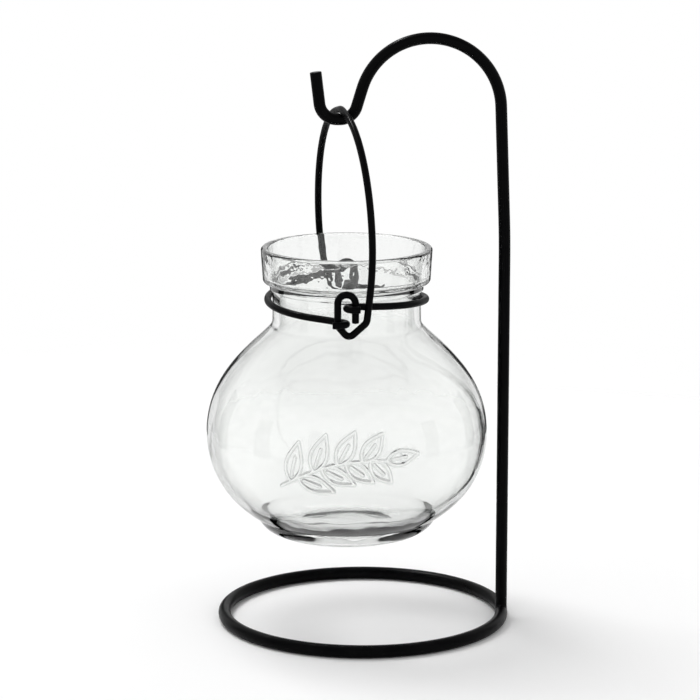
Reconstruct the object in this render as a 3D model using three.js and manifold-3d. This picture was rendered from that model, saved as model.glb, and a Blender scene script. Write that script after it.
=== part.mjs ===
// Hanging vase with stand: a glass jar that hangs by a wire harness from a bent steel rod.
// Millimetres, +Z up, +X towards the post, the open side of the hook towards -X.
import * as THREE from 'three';
import { mergeVertices } from 'three/addons/utils/BufferGeometryUtils.js';
import Module from 'manifold-3d';

const wasm = await Module();
wasm.setup();

// Driving dimensions of the stand
const standHeight = 305;          // floor to the top of the crook
const rodDiameter = 6;            // post, crook and hook are one bent rod
const ringRodDiameter = 6.5;      // rod of the base ring
const ringRadius = 72;            // centre line of the base ring
const leanHeight = 200;           // the post starts to lean towards the hook here
const leanReach = 3.7;            // how far it has leaned where its line meets the crook's top
const leanBend = 600;             // radius of that slight bend
const saddleHeight = 261;         // centre line of the rod at the low point of the hook
const saddleFlat = 0.7;           // half the straight length between the hook's two bends
const hookBend = 8.9;             // centre line radius of the hook
const hookTipHeight = 285;
const crookSlope = 17;            // degrees, the crook's free side against the vertical
const hookTipSlope = 6.7;         // degrees, the hook's tip against the vertical
const weldLeg = 0.8;              // throat of the weld round the foot of the post

// Driving dimensions of the wire harness
const wireDiameter = 3.6;
const bailDrop = 97.6;            // top of the bail to the middle of its eyes
const bailOffset = 2.8;           // the bail's top from the vase's axis, towards the hook's tip
const bailArchRise = 60;          // the bail is half an ellipse down to here
const kneeDrop = 14;              // below it the wire turns into the straight leg over this length
const bailBow = 3.1;              // how far the bail stands out beyond its eyes
const bailTurn = 16;              // degrees, the bail's plane against the front to back direction
const eyeHeight = 22.2;           // an eye's top down to the corner under it, on centre lines
const eyeTaper = 50;              // degrees, the side that runs in to that corner, against the level
const eyeLow = 1;                 // that corner from the middle of the eye, towards the leg
const taperBend = 4;              // where the eye's side starts to run in
const cornerBend = 3;             // the corner under the eye
const linkSlack = 0.8;            // play of a hook round the wire of an eye
const legGap = 2;                 // between an eye and the leg that runs down beside it
const tailSlope = 42;             // degrees, the run from the leg to the corner under the eye
const eyeEndGap = 0.4;            // between the eye's cut end and that run
const hookEndLength = 2.6;        // straight end of a neck wire's hook
const strandDrop = 7.9;           // a neck wire's low hook below its high hook

// Driving dimensions of the vase, heights from the ledge that sits on the neck wire
const neckRadius = 38;
const neckLength = 17.8;          // ledge down to the shoulder's fillet
const ledgeDepth = 1.3;           // the band above the neck stands out by this much
const bandHeight = 3.6;           // ledge up to the collar's underside
const collarOverhang = 5.9;       // collar's widest radius beyond the neck
const collarTaper = 1.1;          // the collar is this much narrower at its foot
const collarHeight = 18.2;        // underside to rim
const collarFootRound = 2.4;
const rimRound = 1.7;
const shoulderFillet = 3;         // from the neck into the shoulder
const bellyRadius = 72.2;
const bellyReach = 29.5;          // how far the belly's upright pull goes above and below its widest circle
const shoulderDrop = 53.7;        // foot of the shoulder's fillet down to the widest circle
const shoulderSlope = 46.5;       // degrees, the shoulder against the level at that fillet
const shoulderReach = 11.5;       // how far that slope's pull goes
const baseDepth = 52.9;           // widest circle down to the flat base
const heelRadius = 46.1;          // the crease where the belly meets the rounded foot
const heelSlope = 30;             // degrees, the belly against the level there
const heelReach = 4;              // how far that slope's pull goes
const footHeight = 8.7;           // base up to that crease
const footLean = 3.3;             // the foot's side leans in by this much
const footTurn = 13.9;            // from the foot's side into the flat base
const puntRadius = 24;            // hollow under the base
const puntDepth = 1.5;
const wall = 3.2;                 // glass of the belly
const neckWall = 3.6;
const floorDrop = 6.5;            // end of the inner wall down to the inner floor
const floorTurn = 11;             // from the inner wall into the flat of that floor

// Clearances
const seatGap = 0.3;              // between curved pieces that rest on each other
const neckSlack = 0.5;            // neck wire round the neck
const collarClearance = 1.1;      // eyes in front of the collar
const bellyToPost = 5.2;          // belly to the post beside it
const saddleOffset = 4.2;         // the hook's low point from the vase's axis

// Facets
const rodSides = 16;
const wireSides = 12;
const ringSteps = 64;
const vaseSteps = 48;
const weldSteps = 24;
const bendStep = THREE.MathUtils.degToRad(13);
const archSteps = 26;
const strandSteps = 30;
const bellySteps = 7;
const curveSteps = 3;

// Derived sizes
const rad = THREE.MathUtils.degToRad;
const rodRadius = rodDiameter / 2;
const ringRodRadius = ringRodDiameter / 2;
const wireRadius = wireDiameter / 2;
const rodReach = rodRadius / Math.cos(Math.PI / rodSides);
const wireReach = wireRadius / Math.cos(Math.PI / wireSides);
const collarRadius = neckRadius + collarOverhang;
const eyePlane = collarRadius + wireReach + collarClearance;
const eyeBend = wireDiameter + linkSlack;
const strandRadius = neckRadius + neckSlack + wireReach;
const vaseX = ringRadius - rodRadius - bellyToPost - bellyRadius;
const saddleX = vaseX - saddleOffset;
const bailTop = saddleHeight + rodReach + seatGap + wireReach;
const eyeMiddle = bailTop - bailDrop;
const eyeCorner = eyeMiddle - eyeHeight / 2;
const hookSeat = 2 * wireReach + seatGap + eyeLow * Math.sin(rad(eyeTaper));
const lowHook = eyeCorner + hookSeat / Math.cos(rad(eyeTaper));
const highHook = lowHook + strandDrop;

// A neck wire runs straight from the neck's circle to the hook's circle, touching both
const hookReach = Math.hypot(eyePlane, eyeBend);
const leave = Math.atan2(eyeBend, eyePlane) + Math.acos((strandRadius + eyeBend) / hookReach);
const strandRun = Math.sqrt(hookReach ** 2 - (strandRadius + eyeBend) ** 2);
const strandArc = strandRadius * (Math.PI - 2 * leave);
const runDrop = strandDrop * strandRun / (strandArc + 2 * strandRun);
const ledgeHeight = highHook - runDrop + wireReach + seatGap;

// Materials
const blackSteel = new THREE.MeshStandardMaterial({ color: 0x191919, roughness: 0.5, metalness: 0.2 });
const clearGlass = new THREE.MeshStandardMaterial({
  color: 0xe9f1ef, roughness: 0.05, metalness: 0, transparent: true, opacity: 0.35,
});

// A bent rod or wire, given as a row of points that are close together where it bends
class BentWire extends THREE.Curve {
  constructor(points) {
    super();
    this.points = points.filter((point, i) => i === 0 || point.distanceTo(points[i - 1]) > 1e-3);
  }

  getPoint(t, target = new THREE.Vector3()) {
    const last = this.points.length - 1;
    const i = Math.min(Math.floor(t * last + 1e-6), last - 1);
    return target.lerpVectors(this.points[i], this.points[i + 1], t * last - i);
  }

  getPointAt(u, target) {
    return this.getPoint(u, target);
  }

  getTangentAt(u, target = new THREE.Vector3()) {
    const last = this.points.length - 1;
    const i = Math.round(u * last);
    const before = this.points[Math.max(i - 1, 0)];
    const here = this.points[i];
    const after = this.points[Math.min(i + 1, last)];
    const incoming = here.clone().sub(before).normalize();
    const outgoing = after.clone().sub(here).normalize();
    return target.addVectors(incoming, outgoing).normalize();
  }
}

// Straight lengths between corners, each inner corner rounded to its bend radius
function bend(corners, radii) {
  const points = [corners[0]];
  for (let i = 1; i < corners.length - 1; i++) {
    const corner = corners[i];
    const back = corners[i - 1].clone().sub(corner).normalize();
    const ahead = corners[i + 1].clone().sub(corner).normalize();
    const turn = Math.PI - back.angleTo(ahead);
    const radius = radii[i - 1];
    const start = corner.clone().addScaledVector(back, radius * Math.tan(turn / 2));
    const toCentre = back.clone().add(ahead).normalize();
    const centre = corner.clone().addScaledVector(toCentre, radius / Math.cos(turn / 2));
    const spoke = start.clone().sub(centre);
    const steps = Math.max(2, Math.ceil(turn / bendStep));
    for (let k = 0; k <= steps; k++) {
      const angle = (turn * k) / steps;
      const point = centre.clone().addScaledVector(spoke, Math.cos(angle));
      points.push(point.addScaledVector(back, -radius * Math.sin(angle)));
    }
  }
  points.push(corners.at(-1));
  return points;
}

// A polygon whose flats touch the circle of the given radius
function roundSection(radius, sides) {
  const reach = radius / Math.cos(Math.PI / sides);
  const corner = (i) => ((i + 0.5) / sides) * 2 * Math.PI;
  return Array.from({ length: sides }, (_, i) => new THREE.Vector2(
    reach * Math.cos(corner(i)), reach * Math.sin(corner(i))));
}

function wireGeometry(points, radius, sides) {
  const path = new BentWire(points);
  return new THREE.ExtrudeGeometry(new THREE.Shape(roundSection(radius, sides)), {
    steps: path.points.length - 1, extrudePath: path,
  });
}

// The points of a profile drawn as a path, more of them along its long curves
function profileOf(path) {
  const steps = { LineCurve: 1, CubicBezierCurve: bellySteps };
  const points = path.curves.flatMap((curve) => curve.getPoints(steps[curve.type] ?? curveSteps));
  return points.filter((point, i) => i === 0 || point.distanceTo(points[i - 1]) > 1e-6);
}

// A profile of radius and height turned about Z
function turned(profile, steps) {
  return new THREE.LatheGeometry(profile, steps).rotateX(Math.PI / 2);
}

function closed(profile) {
  return [...profile, profile[0].clone()];
}

// A ring of round rod, with its centre line at the given radius and height
function ringGeometry(radius, rod, height) {
  const section = roundSection(rod, rodSides);
  const place = new THREE.Vector2(radius, height);
  return turned(closed(section.map((point) => point.add(place))), ringSteps);
}

function solid(geometry) {
  const bare = geometry.clone();
  bare.deleteAttribute('normal');
  bare.deleteAttribute('uv');
  const merged = mergeVertices(bare, 1e-4);
  return new wasm.Manifold(new wasm.Mesh({
    numProp: 3,
    vertProperties: Float32Array.from(merged.attributes.position.array),
    triVerts: Uint32Array.from(merged.index.array),
  }));
}

function geometryOf(manifold) {
  const mesh = manifold.getMesh();
  const geometry = new THREE.BufferGeometry();
  geometry.setAttribute('position', new THREE.BufferAttribute(mesh.vertProperties, 3));
  geometry.setIndex(new THREE.BufferAttribute(mesh.triVerts, 1));
  return geometry;
}

function named(name, geometry, material) {
  const mesh = new THREE.Mesh(geometry, material);
  mesh.name = name;
  return mesh;
}

// Base ring: one turn of rod, its ends butt welded
function baseRing() {
  return ringGeometry(ringRadius, ringRodRadius, ringRodRadius);
}

// Upright: post, slight lean, round crook, S bend and hook in one length of rod
function uprightRod() {
  const crookTop = standHeight - rodRadius;
  const at = (x, z) => new THREE.Vector3(x, 0, z);
  const turnIn = rad(90 - crookSlope);
  const turnUp = rad(90 - hookTipSlope);
  const innerX = saddleX + saddleFlat + hookBend * Math.tan(turnIn / 2);
  const outerX = saddleX - saddleFlat - hookBend * Math.tan(turnUp / 2);
  const tipX = outerX - (hookTipHeight - saddleHeight) * Math.tan(rad(hookTipSlope));
  const crookLeft = innerX + (crookTop - saddleHeight) * Math.tan(rad(crookSlope));
  const crookRight = ringRadius - leanReach;
  const lean = Math.atan2(leanReach, crookTop - leanHeight);
  const turnOver = Math.PI / 2 - lean;
  const crookBend = (crookRight - crookLeft) / (Math.tan(turnOver / 2) + Math.tan(turnIn / 2));
  const corners = [
    at(ringRadius, ringRodDiameter),
    at(ringRadius, leanHeight),
    at(crookRight, crookTop),
    at(crookLeft, crookTop),
    at(innerX, saddleHeight),
    at(outerX, saddleHeight),
    at(tipX, hookTipHeight),
  ];
  const radii = [leanBend, crookBend, crookBend, hookBend, hookBend];
  return wireGeometry(bend(corners, radii), rodRadius, rodSides);
}

// Weld: a small bead round the foot of the post, saddled over the ring
function footWeld() {
  const bore = rodReach + seatGap;
  const top = ringRodDiameter + weldLeg;
  const foot = ringRodDiameter - weldLeg;
  const bead = turned(closed([
    new THREE.Vector2(bore, foot),
    new THREE.Vector2(bore + weldLeg, foot),
    new THREE.Vector2(bore + weldLeg, ringRodDiameter),
    new THREE.Vector2(bore + weldLeg / 2, ringRodDiameter + weldLeg / 2),
    new THREE.Vector2(bore + weldLeg / 4, top),
    new THREE.Vector2(bore, top),
  ]), weldSteps).translate(ringRadius, 0, 0);
  const ring = ringGeometry(ringRadius, ringRodRadius + seatGap, ringRodRadius);
  return geometryOf(solid(bead).subtract(solid(ring)));
}

// Bail: an arch over the hook, two legs, and an eye wound at the end of each leg.
// side is -1 for the front eye and 1 for the back one, which is the front one turned half round.
function eyeCorners(side) {
  const at = (x, z) => new THREE.Vector3(-side * x, side * eyePlane, z);
  const top = eyeCorner + eyeHeight;
  const legX = eyeBend + legGap + wireDiameter;
  const tail = (x) => eyeCorner + (x - eyeLow) * Math.tan(rad(tailSlope));
  const endClear = (wireReach + eyeEndGap) / Math.cos(rad(tailSlope));
  return [
    at(eyeBend, tail(eyeBend + wireReach) + endClear),
    at(eyeBend, top),
    at(-eyeBend, top),
    at(-eyeBend, eyeCorner + (eyeBend + eyeLow) * Math.tan(rad(eyeTaper))),
    at(eyeLow, eyeCorner),
    at(legX, tail(legX)),
  ];
}

function bail() {
  const halfWidth = eyePlane + bailBow;
  const turn = rad(bailTurn);
  const arch = Array.from({ length: archSteps + 1 }, (_, i) => {
    const angle = (Math.PI * i) / archSteps;
    const forward = halfWidth * Math.cos(angle);
    const drop = bailArchRise * (1 - Math.sin(angle));
    const lean = bailOffset * (drop / bailDrop - 1);
    return new THREE.Vector3(lean + forward * Math.sin(turn), -forward * Math.cos(turn), bailTop - drop);
  });
  const bends = [eyeBend, eyeBend, taperBend, cornerBend, eyeBend];
  const leg = (side, end) => {
    const corners = eyeCorners(side);
    const knee = new THREE.Vector3(bailOffset / bailDrop, 0, -1).multiplyScalar(kneeDrop).add(end);
    const start = corners.at(-1).clone().sub(knee).setLength(kneeDrop).add(knee);
    const bow = new THREE.QuadraticBezierCurve3(start, knee, end);
    return [...bend([...corners, start], bends), ...bow.getPoints(curveSteps)];
  };
  const points = [...leg(-1, arch[0]), ...arch, ...leg(1, arch.at(-1)).reverse()];
  return wireGeometry(points, wireRadius, wireSides);
}

// Neck wire: half a hoop round the neck, with a hook at each end that passes through an eye.
// It climbs evenly from its low hook to its high one.
function neckWire() {
  const hookTurn = Math.PI - leave;
  const hookSteps = Math.ceil(hookTurn / bendStep);
  const hook = (side, z) => {
    const end = new THREE.Vector3(-eyeBend - hookEndLength, side * (eyePlane + eyeBend), z);
    const points = [end];
    for (let i = 0; i <= hookSteps; i++) {
      const angle = (hookTurn * i) / hookSteps - Math.PI / 2;
      points.push(new THREE.Vector3(
        eyeBend * (Math.cos(angle) - 1), side * (eyePlane - eyeBend * Math.sin(angle)), z));
    }
    return points;
  };
  const strand = Array.from({ length: strandSteps + 1 }, (_, i) => {
    const share = i / strandSteps;
    const angle = Math.PI / 2 + leave + (Math.PI - 2 * leave) * share;
    const height = lowHook + runDrop + (strandDrop - 2 * runDrop) * share;
    return new THREE.Vector3(
      strandRadius * Math.cos(angle), -strandRadius * Math.sin(angle), height);
  });
  const points = [...hook(-1, lowHook), ...strand, ...hook(1, highHook).reverse()];
  return wireGeometry(points, wireRadius, wireSides);
}

// Vase: pressed glass, one profile from the hollow under the base, over the rim, to the inside floor.
// The belly is drawn in halves from its widest circle, up to the shoulder (side 1) or down to the heel (-1).
function vase() {
  const underside = bandHeight;
  const rim = underside + collarHeight;
  const collarFoot = collarRadius - collarTaper;
  const bandRadius = neckRadius + ledgeDepth;
  const innerNeck = neckRadius - neckWall;
  const mouth = collarRadius - neckWall;
  const shoulder = new THREE.Vector2(neckRadius + shoulderFillet, -neckLength - shoulderFillet);
  const widest = shoulder.y - shoulderDrop;
  const base = widest - baseDepth;
  const heel = new THREE.Vector2(heelRadius, base + footHeight);
  const rise = Math.tan(rad(shoulderSlope));
  const half = (end, side, slope, reach, inset) => {
    const along = new THREE.Vector2(Math.cos(rad(slope)), -side * Math.sin(rad(slope)));
    const inwards = new THREE.Vector2(-Math.sin(rad(slope)), -side * Math.cos(rad(slope)));
    const last = inwards.multiplyScalar(inset).add(end);
    const first = new THREE.Vector2(bellyRadius - inset, widest);
    const upright = new THREE.Vector2(first.x, widest + side * bellyReach);
    return [first, upright, along.multiplyScalar(reach).add(last), last];
  };
  const over = half(shoulder, 1, shoulderSlope, shoulderReach, 0);
  const under = half(heel, -1, heelSlope, heelReach, 0);
  const innerOver = half(shoulder, 1, shoulderSlope, shoulderReach, wall);
  const innerUnder = half(heel, -1, heelSlope, heelReach, wall);
  const innerShoulder = innerOver[3];
  const innerHeel = innerUnder[3];
  const heelFoot = heel.x - footLean;
  const innerFloor = innerHeel.y - floorDrop;
  const floorFoot = innerHeel.x - floorDrop / Math.tan(rad(heelSlope));

  const outline = new THREE.Path();
  const sweep = (a, b, c) => outline.bezierCurveTo(a.x, a.y, b.x, b.y, c.x, c.y);
  outline.moveTo(0, base + puntDepth);
  outline.quadraticCurveTo(puntRadius / 2, base + puntDepth, puntRadius, base);
  outline.lineTo(heelFoot - footTurn, base);
  outline.quadraticCurveTo(heelFoot, base, heel.x, heel.y);
  sweep(under[2], under[1], under[0]);
  sweep(over[1], over[2], over[3]);
  outline.quadraticCurveTo(
    neckRadius, shoulder.y + shoulderFillet * rise, neckRadius, -neckLength + shoulderFillet);
  outline.lineTo(neckRadius, 0);
  outline.lineTo(bandRadius, 0);
  outline.lineTo(bandRadius, underside);
  outline.lineTo(collarFoot - collarFootRound, underside);
  outline.quadraticCurveTo(collarFoot, underside, collarFoot, underside + collarFootRound);
  outline.lineTo(collarRadius, rim - rimRound);
  outline.absarc(collarRadius - rimRound, rim - rimRound, rimRound, 0, Math.PI / 2, false);
  outline.quadraticCurveTo(mouth, rim, mouth, rim - rimRound);
  outline.lineTo(mouth - collarTaper, underside + neckWall);
  outline.quadraticCurveTo(innerNeck, underside, innerNeck, 0);
  outline.lineTo(innerNeck, -neckLength + shoulderFillet);
  outline.quadraticCurveTo(
    innerNeck, innerShoulder.y + (innerShoulder.x - innerNeck) * rise, innerShoulder.x, innerShoulder.y);
  sweep(innerOver[2], innerOver[1], innerOver[0]);
  sweep(innerUnder[1], innerUnder[2], innerUnder[3]);
  outline.quadraticCurveTo(floorFoot, innerFloor, floorFoot - floorTurn, innerFloor);
  outline.lineTo(0, innerFloor);
  return turned(profileOf(outline), vaseSteps);
}

// Assembly: the stand about the centre of its ring, the hanging parts about the vase's axis
const stand = new THREE.Group();
stand.add(
  named('base_ring', baseRing(), blackSteel),
  named('upright_rod', uprightRod(), blackSteel),
  named('foot_weld', footWeld(), blackSteel),
);

const hanging = new THREE.Group();
hanging.position.x = vaseX;
const neckWireLeft = named('neck_wire_left', neckWire(), blackSteel);
const neckWireRight = named('neck_wire_right', neckWire(), blackSteel);
neckWireRight.rotation.z = Math.PI;
const glass = named('vase', vase(), clearGlass);
glass.position.z = ledgeHeight;
hanging.add(named('bail', bail(), blackSteel), neckWireLeft, neckWireRight, glass);

// The origin is on the floor, under the middle of the whole object's box
const object = new THREE.Group();
const leftmost = vaseX - bellyRadius;
const rightmost = ringRadius + Math.max(ringRodRadius, rodReach + seatGap + weldLeg);
object.position.x = -(leftmost + rightmost) / 2;
object.add(stand, hanging);

export default object;
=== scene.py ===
"""Hanging vase with stand: a clear pressed glass jar in a black wire harness, hung from a bent rod."""

import math

import bpy
import numpy as np
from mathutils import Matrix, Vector


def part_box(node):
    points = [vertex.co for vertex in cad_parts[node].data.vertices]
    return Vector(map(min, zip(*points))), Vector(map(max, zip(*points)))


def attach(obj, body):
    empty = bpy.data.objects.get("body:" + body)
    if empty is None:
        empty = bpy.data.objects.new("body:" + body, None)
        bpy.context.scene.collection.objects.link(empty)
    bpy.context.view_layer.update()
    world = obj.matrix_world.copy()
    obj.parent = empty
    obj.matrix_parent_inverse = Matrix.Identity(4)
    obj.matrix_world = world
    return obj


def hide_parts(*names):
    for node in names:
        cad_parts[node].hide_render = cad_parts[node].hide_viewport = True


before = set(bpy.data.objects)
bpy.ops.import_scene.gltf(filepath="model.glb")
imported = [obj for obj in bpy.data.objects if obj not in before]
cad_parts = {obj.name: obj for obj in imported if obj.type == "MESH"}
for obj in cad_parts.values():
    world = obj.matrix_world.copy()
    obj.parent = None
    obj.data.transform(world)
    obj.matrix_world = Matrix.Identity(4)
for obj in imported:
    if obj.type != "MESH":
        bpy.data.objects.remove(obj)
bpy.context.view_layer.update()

# Camera: a long lens in front of the open side, a little above the rim,
# fitted to the ring's ellipse, the post and the crook.
camera_place = (-0.0045, -1.57556, 0.47204)
camera_tilt = math.radians(78.17)
bpy.ops.object.camera_add(location=camera_place, rotation=(camera_tilt, 0, 0))
camera = bpy.context.object
camera.name = "camera"
camera.data.sensor_width = 36
camera.data.lens = 161.52
camera.data.clip_end = 30
bpy.context.scene.camera = camera

# Base ring: one turn of 6.5 mm mild steel rod, rolled to a circle and closed by a butt weld
# under the post. It stands flat on the table and is powder coated with the upright.
ring_low, ring_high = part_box("base_ring")
ring_centre = (ring_low + ring_high) / 2
ring_rod = (ring_high.z - ring_low.z) / 2
ring_radius = (ring_high.x - ring_low.x) / 2 - ring_rod
post_x = ring_centre.x + ring_radius
rod_sides = 40
same_place = 1e-6


def linear(code):
    """An sRGB hex colour as linear red, green, blue and alpha."""
    shares = [int(code[i : i + 2], 16) / 255 for i in (1, 3, 5)]
    return [s / 12.92 if s <= 0.04045 else ((s + 0.055) / 1.055) ** 2.4 for s in shares] + [1]


def bare_tree(owner):
    """The emptied node tree of a material or a world."""
    owner.use_nodes = True
    owner.node_tree.nodes.clear()
    return owner.node_tree


def node(tree, kind, settings=None, links=None):
    """Adds a node, sets its sockets and properties, and links its inputs."""
    new = tree.nodes.new(kind)
    for name, value in (settings or {}).items():
        if isinstance(name, int) or name in new.inputs:
            new.inputs[name].default_value = value
        else:
            setattr(new, name, value)
    for name, source in (links or {}).items():
        tree.links.new(source, new.inputs[name])
    return new


def black_coat(name, peel):
    """Baked black powder on steel: satin, with an orange peel skin and slightly uneven gloss.

    The peel is drawn coarser than the real one, so that it shows.
    """
    peel_depth = peel / 12
    cloud_size = 0.011
    coat = bpy.data.materials.new(name)
    tree = bare_tree(coat)
    place = node(tree, "ShaderNodeTexCoord").outputs["Object"]
    grain = node(tree, "ShaderNodeTexNoise", {"Scale": 1 / peel, "Detail": 2.0}, {"Vector": place})
    cloud = node(tree, "ShaderNodeTexNoise", {"Scale": 1 / cloud_size, "Detail": 3.0}, {"Vector": place})
    gloss = node(
        tree,
        "ShaderNodeMapRange",
        {"From Min": 0.3, "From Max": 0.7, "To Min": 0.27, "To Max": 0.41},
        {"Value": cloud.outputs["Fac"]},
    )
    rubbed = node(
        tree,
        "ShaderNodeMapRange",
        {"From Min": 0.55, "From Max": 0.85},
        {"Value": cloud.outputs["Fac"]},
    )
    tone = node(
        tree,
        "ShaderNodeMix",
        {"data_type": "RGBA", 6: linear("#030304"), 7: linear("#0A0A0B")},
        {0: rubbed.outputs[0]},
    )
    skin = node(
        tree,
        "ShaderNodeBump",
        {"Strength": 0.1, "Distance": peel_depth},
        {"Height": grain.outputs["Fac"]},
    )
    steel = node(
        tree,
        "ShaderNodeBsdfPrincipled",
        {"Specular IOR Level": 0.045},
        {"Base Color": tone.outputs[2], "Roughness": gloss.outputs[0], "Normal": skin.outputs[0]},
    )
    node(tree, "ShaderNodeOutputMaterial", links={"Surface": steel.outputs[0]})
    return coat


def finish(piece, name, material, body, cad_node):
    """Names a piece, gives it its material and puts it on its body in place of the plain solid."""
    piece.name = name
    piece.data.name = name
    piece.data.materials.clear()
    piece.data.materials.append(material)
    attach(piece, body)
    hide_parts(cad_node)


rod_coat = black_coat("black_powder_coat_on_rod", peel=0.0012)
bpy.ops.object.select_all(action="DESELECT")
bpy.ops.mesh.primitive_circle_add(
    vertices=rod_sides,
    radius=ring_rod,
    location=(post_x, 0, ring_rod),
    rotation=(math.pi / 2, 0, 0),
)
base_ring = bpy.context.object
bpy.ops.object.transform_apply()
bpy.ops.object.mode_set(mode="EDIT")
bpy.ops.mesh.select_all(action="SELECT")
bpy.ops.mesh.spin(steps=200, angle=2 * math.pi, center=(ring_centre.x, 0, 0), axis=(0, 0, 1))
bpy.ops.mesh.select_all(action="SELECT")
bpy.ops.mesh.remove_doubles(threshold=same_place)
bpy.ops.mesh.normals_make_consistent(inside=False)
bpy.ops.object.mode_set(mode="OBJECT")
bpy.ops.object.shade_smooth()
finish(base_ring, "base_ring_rod", rod_coat, "stand", "base_ring")

# Upright: post, slight lean, crook, S bend and hook, bent from one length of 6 mm mild steel rod.
# It is drawn as it is bent: a straight length, then a turn about the bend's centre, and so on.
rod_radius = 0.003
end_round = 0.0005
post_foot = 2 * ring_rod
lean_height = 0.2
lean_reach = 0.0037
lean_radius = 0.6
crook_top = 0.302
crook_slope = math.radians(17)
saddle_height = 0.261
saddle_offset = 0.0042
saddle_flat = 0.0007
hook_radius = 0.0089
tip_height = 0.285
tip_slope = math.radians(6.7)
vase_low, vase_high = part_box("vase")
vase_x = (vase_low.x + vase_high.x) / 2
saddle_x = vase_x - saddle_offset

lean_turn = math.atan2(lean_reach, crook_top - lean_height)
hook_turn = math.pi / 2 - crook_slope
tip_turn = math.pi / 2 - tip_slope
inner_x = saddle_x + saddle_flat + hook_radius * math.tan(hook_turn / 2)
crook_left = inner_x + (crook_top - saddle_height) * math.tan(crook_slope)
crook_right = post_x - lean_reach
over_turn = math.pi / 2 - lean_turn
crook_radius = (crook_right - crook_left) / (math.tan(over_turn / 2) + math.tan(hook_turn / 2))
crook_x = crook_left + crook_radius * math.tan(hook_turn / 2)
crook_centre = Vector((crook_x, 0, crook_top - crook_radius))
lean_start = lean_height - lean_radius * math.tan(lean_turn / 2)
hook_centre = Vector((saddle_x + saddle_flat, 0, saddle_height + hook_radius))
tip_start = Vector((
    saddle_x - saddle_flat - hook_radius * math.sin(tip_turn),
    0,
    saddle_height + hook_radius * (1 - math.cos(tip_turn)),
))


def lengthen(step):
    """Draws the rod's open end on by a straight length."""
    bpy.ops.mesh.extrude_edges_move(TRANSFORM_OT_translate={"value": step})


def turn(angle, centre, steps):
    """Bends the rod's open end on about a centre, to the hook's side where the angle is positive."""
    bpy.ops.mesh.spin(steps=steps, angle=angle, center=centre, axis=(0, 1, 0))


def close_tube():
    """Merges a tube's seams, closes its ends and rounds their edges, as a file does after the cut."""
    bpy.ops.mesh.select_all(action="SELECT")
    bpy.ops.mesh.remove_doubles(threshold=same_place)
    bpy.ops.mesh.select_all(action="DESELECT")
    bpy.ops.mesh.select_non_manifold()
    bpy.ops.mesh.edge_face_add()
    bpy.ops.mesh.select_all(action="DESELECT")
    bpy.ops.mesh.select_face_by_sides(number=4, type="GREATER")
    bpy.ops.mesh.bevel(offset=end_round, segments=4, affect="EDGES")
    bpy.ops.mesh.select_all(action="SELECT")
    bpy.ops.mesh.normals_make_consistent(inside=False)
    bpy.ops.object.mode_set(mode="OBJECT")
    bpy.ops.object.shade_smooth_by_angle(angle=math.radians(50))


bpy.ops.object.select_all(action="DESELECT")
bpy.ops.mesh.primitive_circle_add(
    vertices=rod_sides,
    radius=rod_radius,
    location=(post_x, 0, post_foot),
)
upright = bpy.context.object
bpy.ops.object.transform_apply()
bpy.ops.object.mode_set(mode="EDIT")
bpy.ops.mesh.select_all(action="SELECT")
lengthen((0, 0, lean_start - post_foot))
turn(lean_turn, (post_x - lean_radius, 0, lean_start), steps=6)
lean_end = Vector((
    post_x - lean_radius * (1 - math.cos(lean_turn)),
    0,
    lean_start + lean_radius * math.sin(lean_turn),
))
crook_start = crook_centre + crook_radius * Vector((math.cos(lean_turn), 0, math.sin(lean_turn)))
lengthen(crook_start - lean_end)
turn(over_turn + hook_turn, crook_centre, steps=72)
crook_end = crook_centre + crook_radius * Vector((-math.cos(crook_slope), 0, math.sin(crook_slope)))
hook_start = hook_centre + hook_radius * Vector((math.cos(crook_slope), 0, -math.sin(crook_slope)))
lengthen(hook_start - crook_end)
turn(-hook_turn, hook_centre, steps=28)
lengthen((-2 * saddle_flat, 0, 0))
turn(-tip_turn, hook_centre - Vector((2 * saddle_flat, 0, 0)), steps=30)
rise = tip_height - tip_start.z
lengthen((-rise * math.tan(tip_slope), 0, rise))
close_tube()
finish(upright, "upright_bent_rod", rod_coat, "stand", "upright_rod")

# Foot weld: weld metal that fills the gap between the post's cut end and the round of the ring,
# ground back and coated over, so only a soft saddle shaped fillet shows round the foot.
weld_rise = 0.0011
weld_width = 0.985 * ring_rod
weld_length = 0.0046
weld_sunk = 0.00005
weld_hollow = 0.35
lobe_rise = 0.12
lobes = 3
hidden_side = 0.8


def bow(start, pull, end, share):
    """The point at a share of the bow that runs from start to end and is drawn towards a pull."""
    return start * (1 - share) ** 2 + pull * 2 * share * (1 - share) + end * share**2


def fillet_point(around, share):
    """A point of the fillet, from the post's side (share 0) down to the ring's round (share 1)."""
    along = weld_length * math.sin(around)
    across = weld_width * math.cos(around)
    on_ring = Vector((
        post_x + across - along**2 / (2 * ring_radius),
        along,
        ring_rod + math.sqrt(ring_rod**2 - across**2) - weld_sunk,
    ))
    on_post = Vector((
        post_x + rod_radius * math.cos(around),
        rod_radius * math.sin(around),
        post_foot + weld_rise * (1 + lobe_rise * math.sin(lobes * around)),
    ))
    pull = Vector((on_post.x, on_post.y, on_ring.z + weld_hollow * (on_post.z - on_ring.z)))
    return bow(on_post, pull, on_ring, share)


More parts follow.
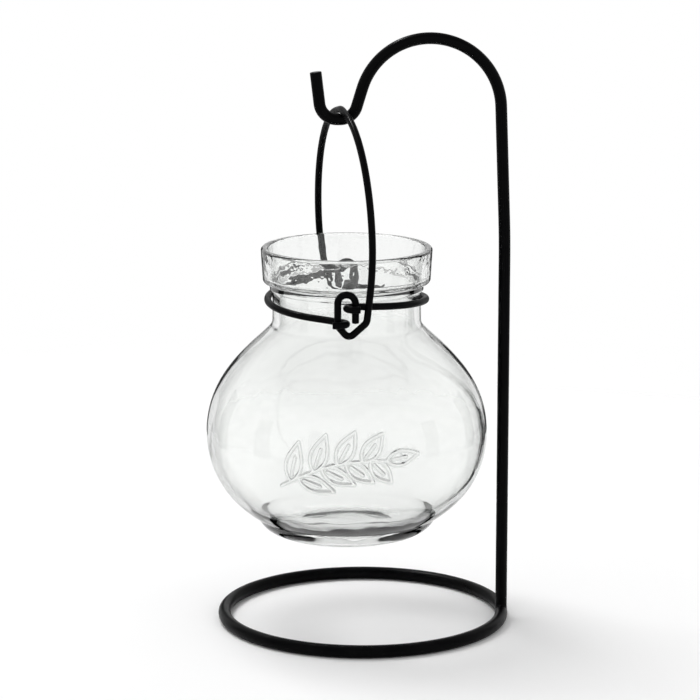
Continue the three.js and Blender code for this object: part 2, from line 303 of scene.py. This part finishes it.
bpy.ops.object.select_all(action="DESELECT")
bpy.ops.mesh.primitive_torus_add(
    location=(post_x, 0, post_foot),
    major_segments=72,
    minor_segments=24,
    major_radius=rod_radius,
    minor_radius=weld_rise,
)
foot_weld = bpy.context.object
bpy.ops.object.transform_apply()
for vertex in foot_weld.data.vertices:
    away = Vector((vertex.co.x - post_x, vertex.co.y))
    around = math.atan2(away.y, away.x)
    dip = math.atan2(post_foot - vertex.co.z, abs(away.length - rod_radius))
    vertex.co = fillet_point(around, 0.5 + dip / math.pi)
    if away.length < rod_radius - same_place:
        vertex.co.x = post_x + hidden_side * (vertex.co.x - post_x)
        vertex.co.y *= hidden_side
bpy.ops.object.shade_smooth()
finish(foot_weld, "foot_weld_bead", rod_coat, "stand", "foot_weld")

# Bail: one length of 3.6 mm steel wire, arched over the hook, a drop shaped eye wound at each end.
# Its top is bent a little tighter, where it hangs in the hook's saddle.
# It leans a little, because the jar hangs off the saddle.
wire_coat = black_coat("black_powder_coat_on_wire", peel=0.0009)
wire_radius = 0.0018
cad_wire_sides = 12
wire_reach = wire_radius / math.cos(math.pi / cad_wire_sides)
bail_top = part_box("bail")[1].z - wire_reach
bail_drop = 0.0976
bail_offset = 0.0028
collar_radius = 0.0439
eye_gap = 0.0011
eye_plane = collar_radius + wire_reach + eye_gap
eye_height = 0.0222
eye_corner = bail_top - bail_drop - eye_height / 2
eye_taper = math.radians(50)
eye_low = 0.001
eye_bend = 0.0044
eye_side_bend = 0.004
eye_tip_bend = 0.003
end_gap = 0.0004
leg_gap = 0.002
leg_x = eye_bend + leg_gap + 2 * wire_radius
tail_slope = math.radians(42)
knee_drop = 0.014
knee_steps = 12
arch_rise = 0.06
arch_spread = 0.0031
arch_half = eye_plane + arch_spread
arch_turn = math.radians(16)
arch_steps = 144
top_sag = 0.0002
top_bend = 0.0006
top_bend_half = 0.0046


def rounded(corners, radii, step=math.radians(6)):
    """Straight lengths between corners, each inner corner rounded to its radius."""
    points = [corners[0]]
    for before, corner, after, radius in zip(corners, corners[1:], corners[2:], radii):
        back = (before - corner).normalized()
        ahead = (after - corner).normalized()
        turn_angle = math.pi - back.angle(ahead)
        start = corner + back * radius * math.tan(turn_angle / 2)
        centre = corner + (back + ahead).normalized() * radius / math.cos(turn_angle / 2)
        spoke = start - centre
        steps = max(3, math.ceil(turn_angle / step))
        for k in range(steps + 1):
            angle = turn_angle * k / steps
            points.append(centre + spoke * math.cos(angle) - back * radius * math.sin(angle))
    return points + [corners[-1]]


def drawn(points):
    """A line drawn by extruding one vertex from point to point."""
    bpy.ops.object.select_all(action="DESELECT")
    bpy.ops.mesh.primitive_plane_add(size=0.001, location=points[0])
    bpy.ops.object.transform_apply()
    bpy.ops.object.mode_set(mode="EDIT")
    bpy.ops.mesh.select_all(action="SELECT")
    bpy.ops.mesh.merge(type="CENTER")
    for before, after in zip(points, points[1:]):
        bpy.ops.mesh.extrude_vertices_move(TRANSFORM_OT_translate={"value": after - before})
    bpy.ops.object.mode_set(mode="OBJECT")
    return bpy.context.object


def bent_wire(points):
    """A round wire along a drawn line, its cut ends rounded. Points that all but meet are skipped."""
    least_step = 1e-5
    drawn([p for p, q in zip(points, points[1:]) if (q - p).length > least_step] + [points[-1]])
    bpy.ops.object.convert(target="CURVE")
    line = bpy.context.object.data
    line.bevel_depth = wire_radius
    line.bevel_resolution = 10
    line.use_fill_caps = False
    bpy.ops.object.convert(target="MESH")
    bpy.ops.object.mode_set(mode="EDIT")
    close_tube()
    return bpy.context.object


def eye_corners(side):
    """The corners of an eye and of the run under it. The back eye is the front one turned half round."""
    top = eye_corner + eye_height
    end_lift = (wire_reach + end_gap) / math.cos(tail_slope)
    end_over = (eye_bend + wire_reach - eye_low) * math.tan(tail_slope)
    flat = [
        (eye_bend, eye_corner + end_over + end_lift),
        (eye_bend, top),
        (-eye_bend, top),
        (-eye_bend, eye_corner + (eye_bend + eye_low) * math.tan(eye_taper)),
        (eye_low, eye_corner),
        (leg_x, eye_corner + (leg_x - eye_low) * math.tan(tail_slope)),
    ]
    return [Vector((vase_x - side * x, side * eye_plane, z)) for x, z in flat]


def leg(side, arch_end):
    """An eye and its leg, which turns into the arch over a soft knee."""
    corners = eye_corners(side)
    bends = [eye_bend, eye_bend, eye_side_bend, eye_tip_bend, eye_bend]
    knee = arch_end + knee_drop * Vector((bail_offset / bail_drop, 0, -1))
    start = knee + knee_drop * (corners[-1] - knee).normalized()
    soft_knee = [bow(start, knee, arch_end, k / knee_steps) for k in range(knee_steps + 1)]
    return rounded(corners + [start], bends) + soft_knee


arch = []
for i in range(arch_steps + 1):
    angle = math.pi * i / arch_steps
    forward = arch_half * math.cos(angle)
    over_hook = top_bend * (1 - math.exp(-((forward / top_bend_half) ** 2)))
    drop = top_sag + over_hook + (arch_rise - top_sag - top_bend) * (1 - math.sin(angle))
    lean = bail_offset * (drop / bail_drop - 1)
    arch.append(Vector((
        vase_x + lean + forward * math.sin(arch_turn),
        -forward * math.cos(arch_turn),
        bail_top - drop,
    )))
bail = bent_wire(leg(-1, arch[0]) + arch + leg(1, arch[-1])[::-1])
finish(bail, "bail_wire", wire_coat, "bail", "bail")

# Neck wires: two like half hoops of the same wire round the neck, a hook bent at each end.
# Each passes one hook low and one hook high through the bail's eyes, and the jar's ledge sits on them.
neck_radius = 0.038
strand_gap = 0.0005
strand_radius = neck_radius + strand_gap + wire_reach
strand_drop = 0.0079
strand_steps = 60
seat_gap = 0.0003
hook_tail = 0.0026
hook_steps = 26
hook_seat = 2 * wire_reach + seat_gap + eye_low * math.sin(eye_taper)
low_hook = eye_corner + hook_seat / math.cos(eye_taper)
high_hook = low_hook + strand_drop
hook_reach = math.hypot(eye_plane, eye_bend)
leave = math.atan2(eye_bend, eye_plane) + math.acos((strand_radius + eye_bend) / hook_reach)
strand_run = math.sqrt(hook_reach**2 - (strand_radius + eye_bend) ** 2)
strand_arc = strand_radius * (math.pi - 2 * leave)
run_drop = strand_drop * strand_run / (strand_arc + 2 * strand_run)


def neck_hook(side, height):
    """The hook's points, from its cut end round through the eye."""
    points = [Vector((-eye_bend - hook_tail, side * (eye_plane + eye_bend), height))]
    for i in range(hook_steps + 1):
        angle = (math.pi - leave) * i / hook_steps - math.pi / 2
        points.append(Vector((
            eye_bend * (math.cos(angle) - 1),
            side * (eye_plane - eye_bend * math.sin(angle)),
            height,
        )))
    return points


strand = []
for i in range(strand_steps + 1):
    share = i / strand_steps
    angle = math.pi / 2 + leave + (math.pi - 2 * leave) * share
    strand.append(Vector((
        strand_radius * math.cos(angle),
        -strand_radius * math.sin(angle),
        low_hook + run_drop + (strand_drop - 2 * run_drop) * share,
    )))
half_hoop = neck_hook(-1, low_hook) + strand + neck_hook(1, high_hook)[::-1]
for name, hand in (("neck_wire_left", 1), ("neck_wire_right", -1)):
    neck_wire = bent_wire([Vector((vase_x + hand * p.x, hand * p.y, p.z)) for p in half_hoop])
    finish(neck_wire, name + "_hoop", wire_coat, "neck_hoop", name)

# Vase: clear soda-lime glass, pressed in a mould: rounded foot, belly, short neck, ledge, thick collar.
# A leafy sprig stands out in low relief on the front of the belly. The jar hangs by its ledge.
ledge_band = 0.0036
collar_height = 0.0182
ledge = high_hook - run_drop + wire_reach + seat_gap
underside = ledge + ledge_band
rim = underside + collar_height
band_radius = 0.0393
collar_foot = 0.0428
top_wall = 0.0036
mouth = collar_radius - top_wall
mouth_draft = 0.0011
inner_neck = neck_radius - top_wall
inner_step_up = 0.003
inner_step_down = 0.002
belly_radius = 0.0722
belly_pull = 0.0295
over_height = 0.0537
under_height = 0.0529
wall = 0.0032
shoulder_radius = 0.041
shoulder_drop = 0.0208
shoulder_slope = math.radians(46.5)
shoulder_reach = 0.0115
shoulder = Vector((shoulder_radius, 0, ledge - shoulder_drop))
widest = shoulder.z - over_height
base = widest - under_height
heel_radius = 0.0461
heel_rise = 0.0087
heel_slope = math.radians(30)
heel_reach = 0.004
heel = Vector((heel_radius, 0, base + heel_rise))
base_hollow = 0.0015
hollow_radius = 0.015
standing_radius = 0.024
foot_curl = 0.0172
foot_pull = 0.0033
floor_drop = 0.0065
floor_sweep = 0.011


def half_belly(end, side, slope, reach, inset, steps):
    """The belly's line from its widest circle up (side 1) or down (side -1) to an end with a slope."""
    last = end + inset * Vector((-math.sin(slope), 0, -side * math.cos(slope)))
    start = Vector((belly_radius - inset, 0, widest))
    pulls = (
        start,
        start + Vector((0, 0, side * belly_pull)),
        last + reach * Vector((math.cos(slope), 0, -side * math.sin(slope))),
        last,
    )
    shares = np.linspace(0, 1, steps + 1)
    weights = (
        (1 - shares) ** 3,
        3 * shares * (1 - shares) ** 2,
        3 * shares**2 * (1 - shares),
        shares**3,
    )
    return [Vector(row) for row in sum(np.outer(w, p) for w, p in zip(weights, pulls))]


def over(inset, steps):
    """The belly above its widest circle."""
    return half_belly(shoulder, 1, shoulder_slope, shoulder_reach, inset, steps)


def under(inset, steps):
    """The belly below its widest circle."""
    return half_belly(heel, -1, heel_slope, heel_reach, inset, steps)


def curve(start, pull, end, steps):
    """Points of a bow from one point to another, without the first."""
    return [bow(start, pull, end, k / steps) for k in range(1, steps + 1)]


def profile_corners(*rows):
    """A stretch of the profile from rows of radius, height and the rounding of that corner."""
    corners = [Vector((r, 0, z)) for r, z, _ in rows]
    return rounded(corners, [row[2] for row in rows[1:-1]], step=math.radians(12))


inner_over = over(wall, steps=40)
inner_under = under(wall, steps=34)
inner_shoulder = inner_over[-1]
inner_heel = inner_under[-1]
inner_bend = inner_shoulder.z + (inner_shoulder.x - inner_neck) * math.tan(shoulder_slope)
floor_z = inner_heel.z - floor_drop
floor_foot = Vector((inner_heel.x - floor_drop / math.tan(heel_slope), 0, floor_z))
outer = profile_corners(
    (0, base + base_hollow, 0),
    (hollow_radius, base + base_hollow, 0.02),
    (standing_radius, base, 0.002),
    (heel.x - foot_curl, base, 0),
)
foot = curve(outer[-1], Vector((heel.x - foot_pull, 0, base)), heel, steps=24)
outer_under = under(0, steps=72)[::-1]
outer += foot[:-2] + curve(foot[-3], heel, outer_under[2], steps=6) + outer_under[3:]
outer += over(0, steps=56)[1:]
outer += profile_corners(
    (shoulder.x, shoulder.z, 0),
    (neck_radius, shoulder.z + (shoulder_radius - neck_radius) * math.tan(shoulder_slope), 0.006),
    (neck_radius, ledge, 0.0006),
    (band_radius, ledge, 0.0005),
    (band_radius, underside, 0.0008),
    (collar_foot, underside, 0.0022),
    (collar_radius, rim, 0.0016),
    (mouth, rim, 0.0015),
    (mouth - mouth_draft, underside + inner_step_up, 0.003),
    (inner_neck, underside - inner_step_down, 0.004),
    (inner_neck, inner_bend, 0.007),
    (inner_shoulder.x, inner_shoulder.z, 0),
)[1:]
inside = inner_over[-2::-1] + inner_under[1:]
inside += curve(inner_heel, floor_foot, floor_foot - Vector((floor_sweep, 0, 0)), steps=16)
inside.append(Vector((0, 0, floor_z)))

# The profile is turned in finer steps across the relief than round the rest.
relief_half = math.radians(34)
first_turn = -math.pi / 2 - relief_half
across = math.cos(first_turn)
forth = math.sin(first_turn)
axis = Vector((vase_x, 0, 0))
vase = drawn([axis + Vector((p.x * across, p.x * forth, p.z)) for p in outer + inside])
bpy.ops.object.mode_set(mode="EDIT")
bpy.ops.mesh.select_all(action="SELECT")
bpy.ops.mesh.spin(steps=112, angle=-2 * relief_half, center=axis, axis=(0, 0, 1))
bpy.ops.mesh.spin(steps=126, angle=2 * relief_half - 2 * math.pi, center=axis, axis=(0, 0, 1))
bpy.ops.mesh.select_all(action="SELECT")
bpy.ops.mesh.remove_doubles(threshold=same_place)
bpy.ops.mesh.normals_make_consistent(inside=False)
bpy.ops.mesh.select_mode(type="FACE")
bpy.ops.mesh.select_all(action="DESELECT")
bpy.ops.object.mode_set(mode="OBJECT")


def leaf(base_point, heading, length, width):
    """A leaf's outline and its midrib, in the plane of the relief."""
    fullness = 0.8
    ahead = np.array([math.cos(heading), math.sin(heading)])
    side = np.array([-ahead[1], ahead[0]])
    shares = np.linspace(0, 1, 19)
    swell = width * np.sin(math.pi * shares**fullness)
    middle = base_point + np.outer(shares * length, ahead)
    midrib = middle[3:12]
    return [middle + np.outer(swell, side), middle - np.outer(swell, side), midrib]


stem_left = -0.034
stem_run = 0.054
stem_low = -0.011
stem_climb = 0.014
stem_bow = 0.005
stem_shares = np.linspace(0, 1, 41)
stem = np.column_stack([
    stem_left + stem_run * stem_shares,
    stem_low + stem_climb * stem_shares + stem_bow * np.sin(math.pi * stem_shares),
])
leaf_spots = (4, 13, 22, 31)
leaf_length = 0.0205
leaf_shrink = 0.0012
upper_turn = math.radians(50)
lower_turn = math.radians(48)
lower_share = 0.94
lower_shift = 3
sprig = [stem]
for k, spot in enumerate(leaf_spots):
    along = stem[spot + 1] - stem[spot]
    heading = math.atan2(along[1], along[0])
    length = leaf_length - leaf_shrink * k
    low_spot = stem[spot + lower_shift]
    sprig += leaf(stem[spot], heading + upper_turn, length, width=0.0041)
    sprig += leaf(low_spot, heading - lower_turn, length * lower_share, width=0.0038)
sprig += leaf(stem[-1], heading=math.radians(8), length=0.017, width=0.0036)

sprig_drop = 0.002
sprig_height = widest - sprig_drop
sprig_half_width = 0.042
sprig_half_height = 0.03
skin_depth = 0.001


def sprig_distance(points):
    """How far points of the belly's outer face lie from the sprig's nearest line. Others get 1."""
    points = points.reshape(-1, 3) - np.array(axis)
    sideways = np.arctan2(points[:, 0], -points[:, 1]) * belly_radius
    upwards = points[:, 2] - sprig_height
    inner_line = np.array(inner_under[::-1] + inner_over)
    inner_radius = np.interp(points[:, 2], inner_line[:, 2], inner_line[:, 0])
    outside = np.hypot(points[:, 0], points[:, 1]) > inner_radius + skin_depth
    in_width = np.abs(sideways) < sprig_half_width
    in_height = np.abs(upwards) < sprig_half_height
    in_field = outside & in_width & in_height
    field = np.column_stack([sideways, upwards])[in_field]
    nearest = np.full(len(field), 1.0)
    for line in sprig:
        for start, stop in zip(line, line[1:]):
            run = stop - start
            share = np.clip(((field - start) @ run) / (run @ run), 0, 1)
            nearest = np.minimum(nearest, np.linalg.norm(field - start - np.outer(share, run), axis=1))
    distance = np.ones(len(points))
    distance[in_field] = nearest
    return distance


# The faces along the sprig's lines are cut finer, so that its ridges get clean, steep sides.
ridge_half = 0.0011
ridge_margin = 0.0006
ridge_height = 0.0008
ridge_fullness = 0.8
centres = np.empty(len(vase.data.polygons) * 3)
vase.data.polygons.foreach_get("center", centres)
vase.data.polygons.foreach_set("select", sprig_distance(centres) < ridge_half + ridge_margin)
bpy.ops.object.mode_set(mode="EDIT")
bpy.ops.mesh.subdivide(number_cuts=2, smoothness=1.0)
bpy.ops.object.mode_set(mode="OBJECT")
bpy.ops.object.shade_smooth_by_angle(angle=math.radians(60))
places = np.empty(len(vase.data.vertices) * 3)
vase.data.vertices.foreach_get("co", places)
ridge = np.clip(1 - (sprig_distance(places) / ridge_half) ** 2, 0, 1) ** ridge_fullness
raised = vase.vertex_groups.new(name="sprig")
for index in np.flatnonzero(ridge):
    raised.add([int(index)], float(ridge[index]), "REPLACE")
moulded = vase.modifiers.new("moulded_sprig", "DISPLACE")
moulded.vertex_group = "sprig"
moulded.strength = ridge_height
moulded.mid_level = 0
bpy.ops.object.modifier_apply(modifier="moulded_sprig")
# A mark that peaks half way up each flank of the sprig's ridges, where the glass gets painted shade.
sides = vase.data.attributes.new("painted_sprig_shade", "FLOAT", "POINT")
sides.data.foreach_set("value", 4 * ridge * (1 - ridge))

# Pressed soda-lime glass: clear, smooth from the fire polish, with faint waves left by the mould
# and small ripples in the collar, where the plunger's edge chills the glass first.
# Lamp light passes it, less where it meets the wall at a slant, so its shadow has a darker rim.
# Its colour also carries painted shade, darker at slanting walls and on the sprig's steep flanks.
wave_size = 0.022
wave_depth = 0.0012
ripple_size = 0.004
ripple_depth = 0.0004
glass = bpy.data.materials.new("clear_soda_lime_glass")
tree = bare_tree(glass)
place = node(tree, "ShaderNodeTexCoord").outputs["Object"]
waves = node(tree, "ShaderNodeTexNoise", {"Scale": 1 / wave_size, "Detail": 1.5}, {"Vector": place})
swell = node(
    tree,
    "ShaderNodeBump",
    {"Strength": 0.35, "Distance": wave_depth},
    {"Height": waves.outputs["Fac"]},
)
up = node(tree, "ShaderNodeSeparateXYZ", links={0: place}).outputs["Z"]
on_collar = node(
    tree,
    "ShaderNodeMapRange",
    {"From Min": ledge, "From Max": underside, "To Min": 0.0, "To Max": 0.3},
    {"Value": up},
)
ripples = node(tree, "ShaderNodeTexNoise", {"Scale": 1 / ripple_size, "Detail": 1.0}, {"Vector": place})
pressed = node(
    tree,
    "ShaderNodeBump",
    {"Distance": ripple_depth},
    {"Strength": on_collar.outputs[0], "Height": ripples.outputs["Fac"], "Normal": swell.outputs[0]},
)
# Painted shade: the glass's colour turns dark grey where the wall is seen at a slant, in place of the
# dark edges that refraction gives.
slant = node(tree, "ShaderNodeLayerWeight", {"Blend": 0.5}).outputs["Facing"]
painted_edge_shade = node(
    tree,
    "ShaderNodeMapRange",
    {"interpolation_type": "SMOOTHSTEP", "From Min": 0.5, "From Max": 1.0},
    {"Value": slant},
)
# Painted shade: the sprig's steep flanks are painted darker, in place of the outlines that their
# refraction gives.
painted_sprig_shade = node(tree, "ShaderNodeAttribute", {"attribute_name": "painted_sprig_shade"}).outputs["Fac"]
steep = node(tree, "ShaderNodeMath", {"operation": "MULTIPLY", 1: 0.6}, {0: painted_sprig_shade})
shade = node(
    tree,
    "ShaderNodeMath",
    {"operation": "MAXIMUM"},
    {0: painted_edge_shade.outputs[0], 1: steep.outputs[0]},
)
# The glass's own faint tint, mixed towards dark grey by the painted shade.
glass_tint_and_painted_shade = node(
    tree,
    "ShaderNodeMix",
    {"data_type": "RGBA", 6: linear("#F8F9F8"), 7: linear("#5E6260")},
    {0: shade.outputs[0]},
)
clear = node(
    tree,
    "ShaderNodeBsdfPrincipled",
    {"Roughness": 0.0, "IOR": 1.52, "Transmission Weight": 1.0},
    {"Base Color": glass_tint_and_painted_shade.outputs[2], "Normal": pressed.outputs[0]},
)
let_by = node(
    tree,
    "ShaderNodeMapRange",
    {"From Min": 0.05, "From Max": 0.8, "To Min": 1.0, "To Max": 0.35},
    {"Value": slant},
)
passing = node(tree, "ShaderNodeBsdfTransparent", links={"Color": let_by.outputs[0]})
ray = node(tree, "ShaderNodeLightPath").outputs
light_ray = node(
    tree,
    "ShaderNodeMath",
    {"operation": "MAXIMUM"},
    {0: ray["Is Shadow Ray"], 1: ray["Is Diffuse Ray"]},
)
seen = node(
    tree,
    "ShaderNodeMixShader",
    links={0: light_ray.outputs[0], 1: clear.outputs[0], 2: passing.outputs[0]},
)
node(tree, "ShaderNodeOutputMaterial", links={"Surface": seen.outputs[0]})
finish(vase, "vase_glass", glass, "vase", "vase")

# Studio: a white table that fades into a white background, a soft lamp high behind on the left,
# a weak fill lamp on the right, and dark cards round the set that only reflections show.
bpy.ops.object.select_all(action="DESELECT")
bpy.ops.mesh.primitive_circle_add(
    vertices=128,
    radius=0.8,
    fill_type="NGON",
    location=(0, 0, -0.0001),
)
table = bpy.context.object
table.name = "table"
table_white = bpy.data.materials.new("white_table")
tree = bare_tree(table_white)
place = node(tree, "ShaderNodeTexCoord").outputs["Object"]
away = node(tree, "ShaderNodeVectorMath", {"operation": "LENGTH"}, {0: place})
fade = node(
    tree,
    "ShaderNodeMapRange",
    {"interpolation_type": "SMOOTHSTEP", "From Min": 0.2, "From Max": 0.75},
    {"Value": away.outputs["Value"]},
)
paper = node(tree, "ShaderNodeBsdfDiffuse", {"Color": linear("#F9F9F9")})
open_air = node(tree, "ShaderNodeBsdfTransparent")
shown = node(
    tree,
    "ShaderNodeMixShader",
    links={0: fade.outputs[0], 1: paper.outputs[0], 2: open_air.outputs[0]},
)
node(tree, "ShaderNodeOutputMaterial", links={"Surface": shown.outputs[0]})
table.data.materials.append(table_white)

lamp_target = Vector((0, 0, 0.12))
back_left = (-0.6, 0.6, 1.6)
front_right = (1.1, -1.2, 1.0)
for name, spot, size, power in (
    ("soft_lamp_back_left", back_left, 0.85, 17.5),
    ("fill_lamp_right", front_right, 1.0, 4),
):
    aim = (lamp_target - Vector(spot)).to_track_quat("-Z", "Y").to_euler()
    bpy.ops.object.light_add(type="AREA", location=spot, rotation=aim)
    lamp = bpy.context.object
    lamp.name = name
    lamp.data.size = size
    lamp.data.energy = power
    lamp.visible_transmission = False
    lamp.visible_glossy = False

# A bare lamp in the soft one's place draws the thin highlights along the rods. It lights nothing else.
bpy.ops.object.light_add(type="POINT", location=back_left)
sheen_lamp = bpy.context.object
sheen_lamp.name = "sheen_lamp_back_left"
sheen_lamp.data.energy = 60
sheen_lamp.data.shadow_soft_size = 0
sheen_lamp.visible_diffuse = False
sheen_lamp.visible_transmission = False

card_count = 8
card_distance = 0.45
card_middle = 0.13
card_width = 0.11
card_height = 0.26
card_black = bpy.data.materials.new("black_card")
card_black.use_nodes = True
card_face = card_black.node_tree.nodes["Principled BSDF"].inputs
card_face["Base Color"].default_value = linear("#4A4A4A")
card_face["Roughness"].default_value = 1.0
for k in range(card_count):
    around = math.radians(360 / card_count * (k + 0.5))
    bpy.ops.mesh.primitive_plane_add(
        size=1,
        location=(card_distance * math.cos(around), card_distance * math.sin(around), card_middle),
        rotation=(math.pi / 2, 0, around + math.pi / 2),
    )
    card = bpy.context.object
    card.name = f"dark_card_{k + 1}"
    card.scale = (card_width, card_height, 1)
    card.data.materials.append(card_black)
    card.visible_camera = False
    card.visible_diffuse = False
    card.visible_shadow = False
    card.visible_transmission = False

world = bpy.data.worlds.new("white_studio")
bpy.context.scene.world = world
tree = bare_tree(world)
ray = node(tree, "ShaderNodeLightPath").outputs
mirrored = node(
    tree,
    "ShaderNodeMath",
    {"operation": "MAXIMUM"},
    {0: ray["Is Glossy Ray"], 1: ray["Is Transmission Ray"]},
)
looked_at = node(
    tree,
    "ShaderNodeMath",
    {"operation": "MAXIMUM"},
    {0: ray["Is Camera Ray"], 1: mirrored.outputs[0]},
)
way = node(tree, "ShaderNodeTexCoord").outputs["Generated"]
height = node(tree, "ShaderNodeSeparateXYZ", links={0: way}).outputs["Z"]
ceiling = node(
    tree,
    "ShaderNodeMapRange",
    {
        "interpolation_type": "SMOOTHSTEP",
        "From Min": 0.4,
        "From Max": 0.85,
        "To Min": 1.0,
        "To Max": 0.5,
    },
    {"Value": height},
)
white = node(tree, "ShaderNodeBackground", {"Strength": 1.0}, {"Color": ceiling.outputs[0]})
ambient = node(tree, "ShaderNodeBackground", {"Color": (1, 1, 1, 1), "Strength": 0.6})
both = node(
    tree,
    "ShaderNodeMixShader",
    links={0: looked_at.outputs[0], 1: ambient.outputs[0], 2: white.outputs[0]},
)
node(tree, "ShaderNodeOutputWorld", links={"Surface": both.outputs[0]})

scene = bpy.context.scene
scene.view_settings.view_transform = "Standard"
scene.cycles.caustics_reflective = False
scene.cycles.caustics_refractive = False
scene.cycles.max_bounces = 24
scene.cycles.transmission_bounces = 24
scene.cycles.transparent_max_bounces = 24
